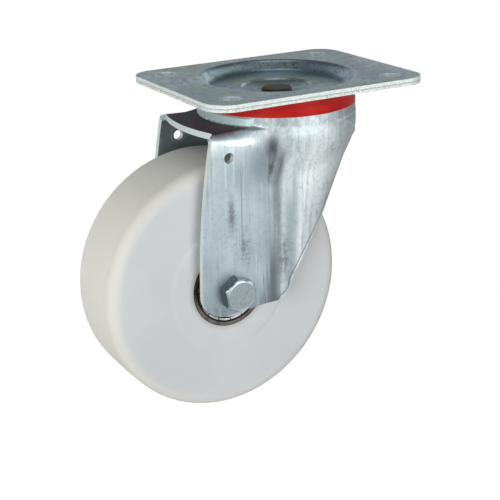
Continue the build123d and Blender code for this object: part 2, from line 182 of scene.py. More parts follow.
# %% Nodes in few words
class Network:
    """The nodes of a material or of the world, with short ways to add more."""

    def __init__(self, tree, coordinate):
        self.tree = tree
        self.place = self.node("ShaderNodeTexCoord", {}, {}, coordinate).socket

    def node(self, kind, settings, inputs, output=0):
        """Add one node: its settings first, then the values or links of its sockets."""
        made = self.tree.nodes.new(kind)
        for name, value in settings.items():
            setattr(made, name, value)
        for name, value in inputs.items():
            socket = made.inputs[name]
            if isinstance(value, Value):
                self.tree.links.new(value.socket, socket)
            elif isinstance(value, bpy.types.NodeSocket):
                self.tree.links.new(value, socket)
            else:
                socket.default_value = value
        return Value(self, made.outputs[output])

    def axes(self, vector=None):
        """The three parts of a vector, the place on the object unless another is given."""
        parts = self.node("ShaderNodeSeparateXYZ", {}, {0: vector or self.place})
        outputs = parts.socket.node.outputs
        return tuple(Value(self, outputs[index]) for index in range(3))

    def facing(self):
        """The direction that the surface faces, in the object's own axes."""
        return self.axes(self.node("ShaderNodeTexCoord", {}, {}, "Normal").socket)

    def ray(self, kind):
        """1 for light rays of one kind, such as those that come from the camera."""
        return self.node("ShaderNodeLightPath", {}, {}, f"Is {kind} Ray")

    def mirror_ray(self):
        """1 for rays that a glossy or a clear surface sends on."""
        return self.ray("Glossy").math("MAXIMUM", self.ray("Transmission"))

    def stretched(self, x, y, z):
        """The place on the object with each axis scaled, for patterns that run one way."""
        inputs = {"Vector": self.place, "Scale": (x, y, z)}
        return self.node("ShaderNodeMapping", {}, inputs).socket

    def noise(self, scale, detail=3.0, rough=0.55, vector=None, warp=0.0):
        """Cloudy noise between 0 and 1, about `scale` lumps in a metre."""
        inputs = {"Vector": vector or self.place, "Scale": scale, "Detail": detail}
        inputs.update({"Roughness": rough, "Distortion": warp})
        return self.node("ShaderNodeTexNoise", {}, inputs)

    def mix(self, first, second, amount):
        """A colour between two colours."""
        inputs = {0: amount, 6: first, 7: second}
        settings = {"data_type": "RGBA", "clamp_factor": True}
        return self.node("ShaderNodeMix", settings, inputs, 2)

    def layers(self, light, *coats):
        """Colours laid over `light` in turn. A coat is a colour and how much of it covers."""
        for colour, amount in coats:
            light = self.mix(light, colour, amount)
        return light


# %% A finish and how it is worn
class Finish(Network):
    """A material with a Principled shader. `slot` is kept on it but not used, and `fixed` holds
    what is the same all over it."""

    def __init__(self, name, slot, fixed):
        self.slot = slot
        self.material = bpy.data.materials.new(name)
        self.material.use_nodes = True
        super().__init__(self.material.node_tree, "Object")
        self.shader = self.tree.nodes["Principled BSDF"]
        for socket, value in fixed.items():
            self.shader.inputs[socket].default_value = value

    def feed(self, socket, value):
        """Link a value or colour to one of the main shader's sockets."""
        self.tree.links.new(value.socket, self.shader.inputs[socket])

    def bump(self, height, depth):
        """Feed the Normal with a height from 0 to 1 that stands for `depth` metres."""
        self.feed("Normal", self.node("ShaderNodeBump", {}, {"Height": height, "Distance": depth}))


def grey(level, chill=0.0):
    """An opaque grey. `chill` takes red away and adds a third as much blue, as zinc does."""
    return (level * (1 - chill), level, level * (1 + chill / 3), 1.0)


def wear(finish, nodes):
    """Put a finish on the CAD nodes that wear it."""
    for name in nodes:
        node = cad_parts[name]
        node.data.materials.clear()
        node.data.materials.append(finish.material)
    print(finish.material.name, "on", ", ".join(nodes))


# %% [markdown]
# The fork was pressed from sheet and then zinc plated. Plating copies what the press tool did to
# the steel: long draw marks where the sheet slid into the tool. The crease on each side, where the
# flat leg turns into the half cone, carries painted shade, and so do the hollow and the valley
# beside it and the inside of the legs. The deck carries a painted dark reflection, and the flat of
# each leg a darker, bluer one. The bulge of the cone and the lip of the rear edge carry painted
# highlights, and the cut edges of the sheet, torn and grainy, carry a painted highlight too. The
# masks come first, one for each kind of place, and the colours are then laid over each other as a
# painter would, from the widest to the smallest. All lengths are places along the object's own
# axes, so a mark stays where it is on the leg.

# %% Rear edge of a leg
def past_rear_edge(x, z):
    """How far a point is beyond the rear edge: two straight lines that meet in a knee, each given
    by the direction that it faces, and an arc round the lobe at the foot."""
    knee_x, knee_z = 10.5 * MM, -79 * MM
    lobe_x, lobe_z, lobe_radius = -24.5 * MM, -114.2 * MM, 12 * MM
    upper = (x - knee_x) * 0.837 - (z - knee_z) * 0.547
    lower = (x - knee_x) * 0.912 - (z - knee_z) * 0.411
    lobe = ((x - lobe_x) ** 2 + (z - lobe_z) ** 2) ** 0.5 - lobe_radius
    return lower.math("MAXIMUM", upper).math("MINIMUM", lobe)


# %% Marks on a leg
def leg_marks(x, z):
    """Masks: painted shade in the crease, scores beside it, smudges, painted shade in the valley.
    """
    # Painted shade: the crease, and a hook where it meets the head.
    crease = x.near(-21.0 * MM, 4 * MM) * z.under(-40 * MM, -30 * MM) * z.over(-116 * MM, -70 * MM)
    hook = x.near(-26.5 * MM, 5 * MM) * z.near(-31 * MM, 12 * MM)
    scores = x.near(-25.8 * MM, 3.4 * MM) * z.near(-44 * MM, 17 * MM)
    scores = scores + x.near(-29.0 * MM, 4.5 * MM) * z.under(-112 * MM, -98 * MM)
    smudges = x.near(-50.5 * MM, 4 * MM) * z.near(-69 * MM, 17 * MM)
    smudges = smudges + x.near(-41.5 * MM, 6 * MM) * z.near(-90 * MM, 15 * MM)
    smudges = smudges + x.near(-17.5 * MM, 8 * MM) * z.near(-100 * MM, 26 * MM)
    smudges = smudges + z.under(-126 * MM, -118 * MM) * 0.6
    # Painted shade in the valley, deeper towards the foot.
    valley = x.near(-24.5 * MM, 8 * MM) * z.under(-64 * MM, -56 * MM)
    valley = valley * (0.35 + z.under(-108 * MM, -84 * MM) * 0.8)
    return crease + hook * 1.4, scores, smudges, valley


# %% Zinc on the fork
def fork_zinc():
    finish = Finish("zinc_on_fork", "zinc_plated_steel", {})
    x, y, z = finish.axes()
    nx, ny, nz = finish.facing()
    haze = finish.noise(26.0, 2.0, 0.5)
    patches = finish.noise(75.0, 4.0, 0.6, finish.stretched(1, 1, 0.4))
    mottle = finish.noise(330.0, 5.0, 0.78)
    bands = finish.noise(190.0, 3.0, 0.6, finish.stretched(1, 0.5, 0.05))
    draws = finish.noise(520.0, 4.0, 0.65, finish.stretched(1, 0.5, 0.04))
    fine_draws = finish.noise(1500.0, 2.0, 0.6, finish.stretched(1, 0.5, 0.03))
    specks = finish.noise(640.0, 2.0, 0.6)
    grain = finish.noise(2300.0, 2.0, 0.7)

    # Cut edges face along the wheel plane, below the head or ahead of the deck.
    below = abs(ny).under(0.10, 0.16) * z.under(-34.5 * MM, -34.0 * MM)
    ahead = nx.under(-0.85, -0.75) * x.under(-57.0 * MM, -56.5 * MM)
    edge = (below + ahead).over(0.4, 0.6)
    # The inside faces the wheel, the deck lies over it, and the band runs round the neck.
    inside = (y * ny).under(-4 * MM, 0.0) * abs(ny).over(0.2, 0.4)
    deck = nz.over(0.75, 0.98) * z.over(-23 * MM, -21.5 * MM) * z.under(-20.5 * MM, -20.0 * MM)
    band = z.over(-25.0 * MM, -19.0 * MM)
    from_hole = ((x - leg_hole[0]) ** 2 + (z - leg_hole[1]) ** 2) ** 0.5
    ring_radius = 4.4 * MM

    # The outside of the legs. The sheared rear edge has a painted highlight for its rounded lip,
    # with a painted shadow line beside it.
    leg = abs(y).over(30.0 * MM, 32.5 * MM) * (1 - inside)
    flat = x.under(-26 * MM, -16 * MM) * z.under(-36 * MM, -24 * MM) * leg
    hollow = x.near(-13.5 * MM, 7 * MM) * z.under(-74 * MM, -44 * MM) * leg
    bulge_highlight = x.over(-12 * MM, -2 * MM) * z.near(-48 * MM, 26 * MM)
    line = x.near(-43.8 * MM, 0.7 * MM) * z.near(-70 * MM, 42 * MM) * leg
    crease, scores, smudges, valley = leg_marks(x, z)
    past_rear = past_rear_edge(x, z)
    below_head = leg * z.under(-37 * MM, -35 * MM)
    lip_highlight = past_rear.over(-0.9 * MM, -0.4 * MM) * below_head
    shadow = past_rear.near(-1.6 * MM, 0.8 * MM) * below_head

    cloud = (haze * 0.5 + bands * 0.5).over(0.36, 0.62)
    light = finish.layers(
        finish.mix(grey(0.56, 0.14), grey(0.80, 0.08), cloud),
        # Painted reflection: the flat of each leg darker and bluer.
        ((0.285, 0.355, 0.385, 1), flat * (0.50 + haze.over(0.35, 0.65) * 0.5)),
        (grey(0.40, 0.10), band * (0.35 + mottle.over(0.35, 0.60) * 0.5)),
        # Painted shade in the hollow, then a painted highlight on the bulge of the cone.
        (grey(0.32, 0.18), hollow * 0.8),
        (grey(0.95, 0.04), bulge_highlight * 0.6),
        (grey(0.25, 0.17), mottle.over(0.48, 0.72) * (0.20 + patches * 0.5)),
        (grey(0.28, 0.16), draws.over(0.52, 0.70) * patches.over(0.36, 0.60) * 0.55),
        (grey(0.86, 0.08), draws.under(0.34, 0.42) * patches.under(0.40, 0.60) * 0.28),
        (grey(0.38, 0.18), fine_draws.over(0.52, 0.70) * 0.35),
        # Painted shade in the crease and at its top, broken by the draw marks.
        (grey(0.10, 0.14), crease * leg * (0.38 + draws * 0.6)),
        (grey(0.11, 0.14), scores * leg * draws.over(0.44, 0.54) * 0.85),
        (grey(0.16, 0.14), line * 0.7),
        # Painted shade in the valley below the crease.
        (grey(0.15, 0.16), valley * leg * (0.30 + bands.over(0.36, 0.58) * 0.55)),
        (grey(0.13, 0.14), smudges * leg * (mottle + bands).over(0.76, 1.16) * 0.9),
        (grey(0.08, 0.06), specks.over(0.69, 0.75) * 0.55),
        # Painted shadow line and painted highlight along the lip of the rear edge.
        (grey(0.14, 0.10), shadow * 0.65),
        (grey(0.62, 0.06), lip_highlight * 0.6),
        # Painted dark reflection on the deck, which lies under the plate.
        ((0.085, 0.072, 0.088, 1), deck * (0.80 + haze * 0.2)),
        # Painted shade on the inside of the legs, which face the wheel.
        ((0.27, 0.34, 0.33, 1), inside * 0.85),
        (grey(0.45, 0.12), from_hole.near(ring_radius, 1.0 * MM) * inside),
        # Cut edges: a grainy painted highlight, with dark mottle.
        ((0.75, 0.83, 0.80, 1), edge * grain.over(0.20, 0.45) * 0.95),
        (grey(0.24, 0.10), edge * mottle.over(0.58, 0.66) * 0.25),
    )
    finish.feed("Base Color", light)
    finish.feed("Metallic", 0.92 - edge * 0.45)
    finish.feed("Roughness", 0.32 + mottle * 0.16 + deck * 0.20 + edge * 0.25)
    relief = grain * 0.25 + fine_draws * 0.30 + mottle * 0.45 - shadow
    finish.bump(relief + from_hole.near(ring_radius, 1.2 * MM) * inside, 0.00018)
    return finish


# %% [markdown]
# The top plate is flat stock, so its finish is calmer than the fork's: fine grain, a few long
# scratches, and the faint violet and green tints of a passivated zinc layer. Its sheared edge has
# two bands, a smooth cut one above and a torn, chipped one below, with a ragged dark furrow between
# them, and all of it is a grainy painted highlight. Painted highlights also run along the rim, in
# the bolt holes and where the dish bends.

# %% Zinc on the plate
def plate_zinc():
    finish = Finish("zinc_on_plate", "zinc_plated_steel", {})
    x, y, z = finish.axes()
    _, _, nz = finish.facing()
    haze = finish.noise(24.0, 3.0, 0.6, warp=0.8)
    tint = finish.noise(30.0, 3.0, 0.6)
    mottle = finish.noise(240.0, 5.0, 0.75)
    scratches = finish.noise(170.0, 4.0, 0.7, finish.stretched(0.25, 2.2, 1))
    hairs = finish.noise(120.0, 2.0, 0.5, finish.stretched(1, 0.3, 1), warp=2.5)
    grain = finish.noise(1500.0, 2.0, 0.7)
    chips = finish.noise(420.0, 4.0, 0.75)

    # Distance outside the plate's outline, worked out from the middle of its round corner.
    past_x = (abs(x) - (plate_high[0] - plate_corner)).math("MAXIMUM", 0)
    past_y = (abs(y) - (plate_high[1] - plate_corner)).math("MAXIMUM", 0)
    border = (past_x ** 2 + past_y ** 2) ** 0.5 - plate_corner
    upright = abs(nz).under(0.45, 0.65)
    edge = upright * border.over(-0.3 * MM, -0.1 * MM)
    # Painted highlight along the rim of the top face.
    rim_highlight = border.over(-1.3 * MM, -0.4 * MM) * nz.over(0.8, 0.9)
    torn = edge * z.under(-2.6 * MM, -1.6 * MM)
    furrow = (z + (chips - 0.5) * 1.6 * MM).near(-2.2 * MM, 0.45 * MM)
    from_hole = ((abs(x) - plate_hole[0]) ** 2 + (abs(y) - plate_hole[1]) ** 2) ** 0.5
    hole = from_hole.near(6.0 * MM, 1.1 * MM)
    reach = (x ** 2 + y ** 2) ** 0.5
    rims = reach.near(dish_rim, 1.6 * MM) + reach.near(dish_floor, 1.2 * MM)
    rims = rims * nz.over(0.3, 0.6)

    light = finish.layers(
        finish.mix(grey(0.56, 0.30), grey(0.82, 0.24), haze.over(0.35, 0.65)),
        ((0.44, 0.48, 0.68, 1), tint.over(0.50, 0.62) * 0.6),
        ((0.46, 0.62, 0.50, 1), tint.under(0.38, 0.48) * 0.6),
        (grey(0.24, 0.24), mottle.over(0.49, 0.66) * 0.5),
        (grey(0.14, 0.10), scratches.over(0.58, 0.68) * 0.65),
        (grey(0.07, 0.06), hairs.near(0.5, 0.018) * haze.over(0.40, 0.54) * 0.8),
        # Painted highlights along the rim, round the bolt holes and on the bends of the dish.
        (grey(0.90, 0.08), (rim_highlight * 0.8 + hole * 0.8 + rims * 0.5) * grain.over(0.2, 0.5)),
        # The sheared edge: light colour with grainy white sparkle, a painted highlight.
        ((0.66, 0.74, 0.71, 1), edge),
        ((0.92, 0.97, 0.95, 1), edge * grain.over(0.40, 0.60) * 0.8),
        ((0.14, 0.18, 0.17, 1), edge * furrow * 0.45),
        ((0.20, 0.24, 0.23, 1), torn * chips.over(0.54, 0.64) * 0.6),
    )
    finish.feed("Base Color", light)
    finish.feed("Metallic", 0.92 - (edge + hole * upright).over(0, 1) * 0.60)
    finish.feed("Roughness", 0.20 + mottle * 0.22 + edge * 0.3)
    finish.bump(grain * (0.3 + torn) + scratches * 0.25 + mottle * 0.3 - furrow * edge, 0.00016)
    return finish


# %% [markdown]
# Bolts, nuts and washers are small and barrel plated, so they are smoother and a little greener
# than the sheet. Painted shade darkens, in patches, the faces that look along the axle, and more so
# the faces that look across it. The bearing's rings and the king pin are not plated: they are
# ground or turned steel under a thin brownish film of oil, and differ from each other only in how
# dark and how smooth they are, so one function makes all of them. The seat of a shield is a
# groove, and it is black.

# %% Steel of the small parts
def fastener_zinc():
    finish = Finish("zinc_on_fasteners", "zinc_plated_steel", {"Metallic": 0.92})
    _, ny, _ = finish.facing()
    haze = finish.noise(140.0, 3.0, 0.6, warp=0.5)
    mottle = finish.noise(620.0, 4.0, 0.75)
    grain = finish.noise(1700.0, 2.0, 0.6)
    patchy = haze * 0.7
    light = finish.layers(
        finish.mix(grey(0.50, 0.16), grey(0.66, 0.12), haze.over(0.35, 0.65)),
        # Painted shade by the way a face looks: along the axle, and darker still across it.
        (grey(0.28, 0.16), abs(ny).over(0.95, 0.99) * (0.4 + patchy)),
        (grey(0.17, 0.18), abs(ny).under(0.5, 0.8) * (0.5 + patchy)),
        (grey(0.50, 0.12), mottle.over(0.50, 0.66) * 0.6),
        (grey(0.10), grain.over(0.56, 0.70) * 0.5),
    )
    finish.feed("Base Color", light)
    finish.feed("Roughness", 0.22 + mottle * 0.18)
    finish.bump(grain * 0.3 + haze * 0.3 + mottle * 0.4, 0.00016)
    return finish


def bare_steel(name, slot, dark, light, rough):
    """Ground steel between two colours, dark on a ring's outer rim and black in its groove."""
    finish = Finish(name, slot, {"Metallic": 0.9})
    haze = finish.noise(120.0, 4.0, 0.6, warp=0.4)
    turned = finish.noise(900.0, 2.0, 0.5, finish.stretched(0.2, 3, 0.2))
    x, _, z = finish.axes()
    reach = ((x - axle[0]) ** 2 + (z - axle[2]) ** 2) ** 0.5
    groove = reach.near(shield_seat, 1.2 * MM).over(0.2, 0.5)
    rim = reach.over(22.9 * MM, 23.2 * MM)
    steel = finish.mix(dark, light, (haze.over(0.30, 0.70) + 0.3 - rim).over(0, 1))
    finish.feed("Base Color", finish.mix(steel, (0.008, 0.007, 0.007, 1), groove * 0.95))
    finish.feed("Roughness", rough + haze * 0.15)
    finish.bump(turned, 0.00005)
    return finish


# %% [markdown]
# The seal between plate and fork is moulded in red plastic. Plastic is not a metal: its colour
# sits in the body, and the gloss on top is white. Faint moulding streaks run round the ring.

# %% Red seal
def red_plastic():
    finish = Finish("red_plastic", "red_seal", {"IOR": 1.46, "Specular IOR Level": 0.22})
    streaks = finish.noise(60.0, 3.0, 0.5, finish.stretched(1, 1, 5))
    fine = finish.noise(500.0, 2.0, 0.6, finish.stretched(0.3, 0.3, 3))
    light = finish.layers(
        finish.mix((0.40, 0.004, 0.003, 1), (0.55, 0.010, 0.006, 1), streaks.over(0.3, 0.7)),
        ((0.24, 0.004, 0.003, 1), fine.over(0.66, 0.78) * 0.5),
    )
    finish.feed("Base Color", light)
    finish.feed("Roughness", 0.28 + fine * 0.14)
    finish.bump(fine, 0.00004)
    return finish


# %% [markdown]
# The wheel is turned from cast nylon. It is nearly white, lets a little light in under the
# surface, and has the very fine rings that a lathe leaves on its faces. Round the bearings the
# faces are darker and warmer, and the tread shows the faint scuffs of a test roll.

# %% White nylon
def white_nylon():
    fixed = {"IOR": 1.53, "Subsurface Weight": 0.15, "Subsurface Scale": 0.003}
    fixed["Subsurface Radius"] = (1.0, 0.95, 0.85)
    finish = Finish("white_nylon", "white_nylon", fixed)
    x, y, z = finish.axes()
    haze = finish.noise(14.0, 3.0, 0.5)
    spots = finish.noise(300.0, 3.0, 0.6)
    scuffs = finish.noise(90.0, 4.0, 0.7, finish.stretched(1, 3, 1))
    radius = ((x - axle[0]) ** 2 + (z - axle[2]) ** 2) ** 0.5
    rings = (radius * 9000.0).math("SINE") * 0.5 + 0.5
    hub = radius.under(23.5 * MM, 27 * MM) * abs(y).over(20 * MM, 24 * MM)
    tread = radius.over(73 * MM, 74 * MM)
    light = finish.layers(
        finish.mix((0.68, 0.71, 0.72, 1), (0.74, 0.765, 0.77, 1), haze.over(0.35, 0.65)),
        ((0.76, 0.755, 0.70, 1), radius.over(66 * MM, 74 * MM)),
        ((0.55, 0.54, 0.50, 1), spots.over(0.68, 0.80) * 0.35),
        ((0.60, 0.59, 0.55, 1), tread * scuffs.over(0.58, 0.75) * 0.35),
        ((0.40, 0.38, 0.33, 1), hub * (0.25 + spots * 0.3)),
    )
    finish.feed("Base Color", light)
    finish.feed("Roughness", 0.50 + haze * 0.12)
    finish.bump(rings * 0.5 + spots * 0.5, 0.00003)
    return finish


# %% [markdown]
# Each finish is made once, and every CAD node of that material wears it. The steels of the
# bearings are ground to different degrees, so each kind of piece has its own, from the bright
# balls to the nearly black rings. A piece that replaces a node later takes the same finish.

# %% Dress the CAD nodes
zinc_fork = fork_zinc()
zinc_plate = plate_zinc()
zinc_small = fastener_zinc()
seal_red = red_plastic()
nylon = white_nylon()
pin_steel = bare_steel(
    "pin_steel", "bare_steel", (0.11, 0.10, 0.085, 1), (0.19, 0.175, 0.155, 1), 0.38)
ring_steel = bare_steel(
    "ring_steel", "bearing_steel", (0.045, 0.038, 0.034, 1), (0.15, 0.14, 0.13, 1), 0.34)
ball_steel = bare_steel("ball_steel", "bearing_steel", grey(0.50, 0.02), grey(0.60, 0.02), 0.12)
disc_steel = bare_steel(
    "disc_steel", "bearing_steel", (0.30, 0.29, 0.32, 1), (0.46, 0.45, 0.49, 1), 0.28)
wear(zinc_fork, ["fork", "lower_ball_cup"])
wear(zinc_plate, ["top_plate"])
wear(zinc_small, ["kingpin_washer", "axle_tube"])
wear(seal_red, ["seal_ring"])
wear(nylon, ["wheel"])
wear(ball_steel, ["upper_head_balls", "lower_head_balls"])
for end in ("near", "far"):
    wear(ring_steel, [f"{end}_bearing_outer_ring", f"{end}_bearing_inner_ring"])
    wear(disc_steel, [f"{end}_spacer", f"{end}_bearing_inner_shield", f"{end}_bearing_cage"])
    wear(ball_steel, [f"{end}_bearing_balls"])

# %% [markdown]
# New pieces are surfaces worked out as arrays. Each one is a grid of points, rows along a profile
# and columns round an axis, and one helper turns any grid into a mesh. Rows that shrink to a
# point, and the seam where the last column meets the first, are merged, so the shell is closed.
# Edges sharper than 30 degrees stay crisp.

# %% From a grid of points to a piece
def finished_piece(name, mesh, finish, body):
    """Shade a mesh, give it its finish, and let it ride on a body."""
    mesh.shade_smooth()
    mesh.set_sharp_from_angle(angle=np.radians(30))
    mesh.materials.clear()
    mesh.materials.append(finish.material)
    piece = bpy.data.objects.new(name, mesh)
    bpy.context.scene.collection.objects.link(piece)
    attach(piece, body)
    print(name, "has", len(mesh.polygons), "faces")
    return piece


def piece_from_grid(name, points, finish, body, close_rows=False, close_columns=True):
    """A mesh of the quads between neighbouring points of a (rows, columns, 3) array."""
    rows, columns = points.shape[:2]
    index = np.arange(rows * columns).reshape(rows, columns)
    if close_rows:
        index = np.vstack([index, index[:1]])
    if close_columns:
        index = np.hstack([index, index[:, :1]])
    quads = np.stack([index[:-1, :-1], index[1:, :-1], index[1:, 1:], index[:-1, 1:]], axis=-1)
    mesh = bpy.data.meshes.new(name)
    mesh.from_pydata(points.reshape(-1, 3).tolist(), [], quads.reshape(-1, 4).tolist())
    shell = bmesh.new()
    shell.from_mesh(mesh)
    bmesh.ops.remove_doubles(shell, verts=shell.verts, dist=1e-7)
    bmesh.ops.recalc_face_normals(shell, faces=shell.faces)
    shell.to_mesh(mesh)
    shell.free()
    return finished_piece(name, mesh, finish, body)


# %% [markdown]
# Where the head, the half cones and the flat of a leg meet, the real sheet flows over from one to
# the next, while the solids cross in a sharp valley. Sculpting could soften it, but it would have
# to be done again after every change. Two distances do it here: how far a point is from the legs
# and how far from the head. The smaller of the two is zero on the solids' surface. A soft minimum
# of them is zero a little further out in the valley and nowhere else.

# %% Distances outside the head and the legs
# Places, half widths and radii of the model's fork, all in mm.
deck_level, foot_level = deck_top / MM, fork_low[2] / MM
head_foot, head_wall, head_lean, head_curl = -25, 46.4, 0.04, 30
leg_half, flat_end = leg_side / MM, -10
bend_places, bend_radii = [-68.5, -25], [4, 12]
cone_foot, cone_growth = 34.6, 9.4
crease_place, crease_round = -23.5, 6
sharp, crease_blend = 0.01, 4.0


def soft_smaller(first, second, blend):
    """The smaller of two lengths, less a parabola of height blend / 4 where they are equal."""
    overlap = np.maximum(blend - np.abs(first - second), 0)
    return np.minimum(first, second) - overlap ** 2 / (4 * blend)


def beyond_head(x, y, z):
    """Distance outside the head: a wall that leans in upwards, and an arc that curls in below."""
    reach, above = np.hypot(x, y), z - head_foot
    wall = reach - (head_wall - head_lean * above)
    curl = np.hypot(reach - (head_wall - head_curl), above) - head_curl
    return np.where(above > 0, wall, curl)


def beyond_legs(x, y, z, blend=sharp):
    """Distance outside the legs: a box with a bend whose radius grows towards the head, joined to
    a half cone whose radius grows with the square of the height above the foot."""
    bend = np.interp(x, bend_places, bend_radii)
    across, up = np.abs(y) - leg_half + bend, z - deck_level + bend
    corner = np.hypot(np.maximum(across, 0), np.maximum(up, 0)) - bend
    flat = corner + np.minimum(np.maximum(across, up), 0)
    height = np.clip(1 + (z - deck_level) / (deck_level - foot_level), 0, 1)
    radius = cone_foot + cone_growth * height**2
    middle = crease_place + np.sqrt((radius + crease_round) ** 2 - (leg_half + crease_round) ** 2)
    cone = np.maximum(np.hypot(x - middle, y) - radius, z - deck_level)
    return soft_smaller(np.maximum(flat, x - flat_end), cone, blend)


def fork_distance(points):
    """Soft minimum of the two, wide beside the flat of a leg and narrow on the half cone. It is
    sharp near the middle plane and above the deck, where nothing is softened."""
    x, y, z = points.T
    side = np.interp(np.abs(y), [22, 28], [0, 1]) * np.interp(z, [-21.5, -17.5], [1, 0])
    blend = np.interp(x, [-24, -12, 10], [11.0, 6.0, 2.0]) * side + sharp
    return soft_smaller(beyond_head(x, y, z), beyond_legs(x, y, z, crease_blend), blend)


# %% [markdown]
# The fork's own mesh can't follow a soft shape, because its triangles are long and thin. So a copy
# is merged, its long edges are halved until they are short wherever the shape changes, and each
# point of its outside moves along the slope of the distance until the distance there is what it
# was before. The copy also drops the surface directions that came with the mesh: they belong to
# the old triangles, and would paint false light on the new ones.

# %% Fork with soft valleys
def vertex_places(mesh):
    """The places of a mesh's vertices, as a (count, 3) array."""
    places = np.empty(len(mesh.vertices) * 3)
    mesh.vertices.foreach_get("co", places)
    return places.reshape(-1, 3)


def near_crease(place):
    """The part of a leg that is made finer: the neck, and a strip along the crease below it."""
    x, y, z = place / MM
    return abs(y) > 20 and x > -54 and (z > -58 or -38 < x < -8)


def finer_copy(mesh):
    """A merged copy whose edges near the crease are at most a little over a millimetre long."""
    fine = mesh.copy()
    fine.attributes.remove(fine.attributes["custom_normal"])
    shell = bmesh.new()
    shell.from_mesh(fine)
    bmesh.ops.remove_doubles(shell, verts=shell.verts, dist=1e-6)
    for length in (8 * MM, 4 * MM, 2 * MM, 1.2 * MM):
        long_edges = [
            edge for edge in shell.edges
            if edge.calc_length() > length and any(near_crease(end.co) for end in edge.verts)
        ]
        bmesh.ops.subdivide_edges(shell, edges=long_edges, cuts=1)
        bmesh.ops.triangulate(shell, faces=[face for face in shell.faces if len(face.verts) > 3])
    bmesh.ops.dissolve_degenerate(shell, dist=0.02 * MM, edges=shell.edges)
    shell.to_mesh(fine)
    shell.free()
    return fine


def soft_fork():
    """Newton's steps on points within `skin` of the surface: the gap that is left, over the square
    of the slope, times the slope. The slope is measured over `step` to each side, and its square
    counts as `least_square` where it is nearly flat."""
    mesh = finer_copy(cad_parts["fork"].data)
    mesh.name = "soft_fork"
    points = vertex_places(mesh) / MM
    x, y, z = points.T
    skin, step, least_square = 0.4, 0.05, 0.3
    nearest = np.minimum(beyond_head(x, y, z), beyond_legs(x, y, z))
    outside = np.abs(nearest) < skin
    start, rest = points[outside], nearest[outside]
    moved = start
    for _ in range(3):
        slope = np.stack([
            fork_distance(moved + aside) - fork_distance(moved - aside)
            for aside in np.eye(3) * step
        ], axis=1) / (2 * step)
        gap = fork_distance(moved) - rest
        moved = moved - (gap / np.maximum((slope**2).sum(axis=1), least_square))[:, None] * slope
    points[outside] = moved
    mesh.vertices.foreach_set("co", (points * MM).ravel())
    print("points moved by up to (mm):", round(float(np.abs(moved - start).max()), 2))
    piece = finished_piece("soft_fork", mesh, zinc_fork, "fork")
    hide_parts("fork")


soft_fork()

# %% [markdown]
# Bolt, nuts and king pin are all bars on a straight axis. A plain way is to join a cylinder, a
# hexagon and a modelled thread, and to bevel the result. Here one formula gives the radius at
# every angle and every station along the axis instead: the smaller of a cap, which draws the
# chamfers and the shank, and the hexagon's own reach, less a thread wave that climbs one pitch in
# each turn. A soft minimum rounds the edge between chamfer and flat as wear and plating do.

# %% Hexagon and thread
def hexagon_reach(angle, flats, corner):
    """Middle to rim of a hexagon: the cosines to its six sides, raised to a high power, summed
    and rooted back, which rounds the corners a little."""
    sides = corner + np.pi / 6 + np.pi / 3 * np.arange(6)
    cosines = np.clip(np.cos(angle[:, None] - sides), 0, None)
    power = 90
    return flats / 2 / (cosines**power).sum(axis=1) ** (1 / power)


def thread_wave(along, angle, pitch):
    """0 on a crest and 1 in a root: a triangle wave of the distance along minus the turn."""
    turns = along / pitch - angle / (2 * np.pi)
    return 1 - 2 * np.abs(turns % 1 - 0.5)


def corner_angle(node, middle, first, second):
    """Where a CAD hexagon's corner stands: the angle of its vertex farthest from the axis."""
    arms = vertex_places(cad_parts[node].data) - middle
    across, up = arms @ first, arms @ second
    farthest = np.argmax(across**2 + up**2)
    return np.arctan2(up[farthest], across[farthest])


# %% Bars with a hexagon and a thread
def bar(name, node, start, axis, stations, finish, body, flats=None, thread=None, hollow=False):
    """A bar that replaces a CAD node. `stations` holds (distance from start, cap) pairs, `flats`
    is the width of the hexagon, and `thread` is where it begins, its pitch and its depth."""
    axis = np.array(axis, float)
    first = np.array([1.0, 0, 0])
    second = np.cross(axis, first)
    columns, worn_edge = 240, 0.30 * MM
    angle = np.linspace(0, 2 * np.pi, columns, endpoint=False)
    along, cap = np.array(stations).T
    radius = np.repeat(cap[:, None], columns, axis=1)
    if flats:
        reach = hexagon_reach(angle, flats, corner_angle(node, start, first, second))
        radius = np.maximum(soft_smaller(radius, reach[None, :], worn_edge), 0)
    if thread:
        begin, pitch, depth = thread
        fade = np.clip((along - begin) / pitch, 0, 1) * np.clip(cap / (2 * depth), 0, 1)
        radius = radius - depth * fade[:, None] * thread_wave(along[:, None], angle, pitch)
    rim = np.cos(angle)[:, None] * first + np.sin(angle)[:, None] * second
    points = start + along[:, None, None] * axis + radius[:, :, None] * rim
    piece = piece_from_grid(name, points, finish, body, close_rows=hollow)
    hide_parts(node)


def threaded_end(begin, end, radius, chamfer, pitch):
    """Stations along a threaded end, eight to a pitch, then the chamfer and the flat tip."""
    along = np.linspace(begin, end - chamfer, int((end - chamfer - begin) / pitch * 8))
    return [(place, radius) for place in along] + [(end, radius - chamfer), (end, 0.0)]


def nut_stations(height, flats, bore, turn):
    """Round a nut's wall: down the outside with a chamfer at each end, and back up the bore. A cap
    as wide as `flats` is outside the hexagon's corners, so there the hexagon alone shows."""
    face, cone = flats * 0.475, 1.8 * turn
    clear, lead = turn * 1.4, 0.7 * MM
    outside = [(0.0, face), (turn, face + cone), (clear, flats)]
    outside += [(height - clear, flats), (height - turn, face + cone), (height, face)]
    inside = [(height, bore + lead), (height - lead, bore), (lead, bore), (0.0, bore + lead)]
    return outside + inside


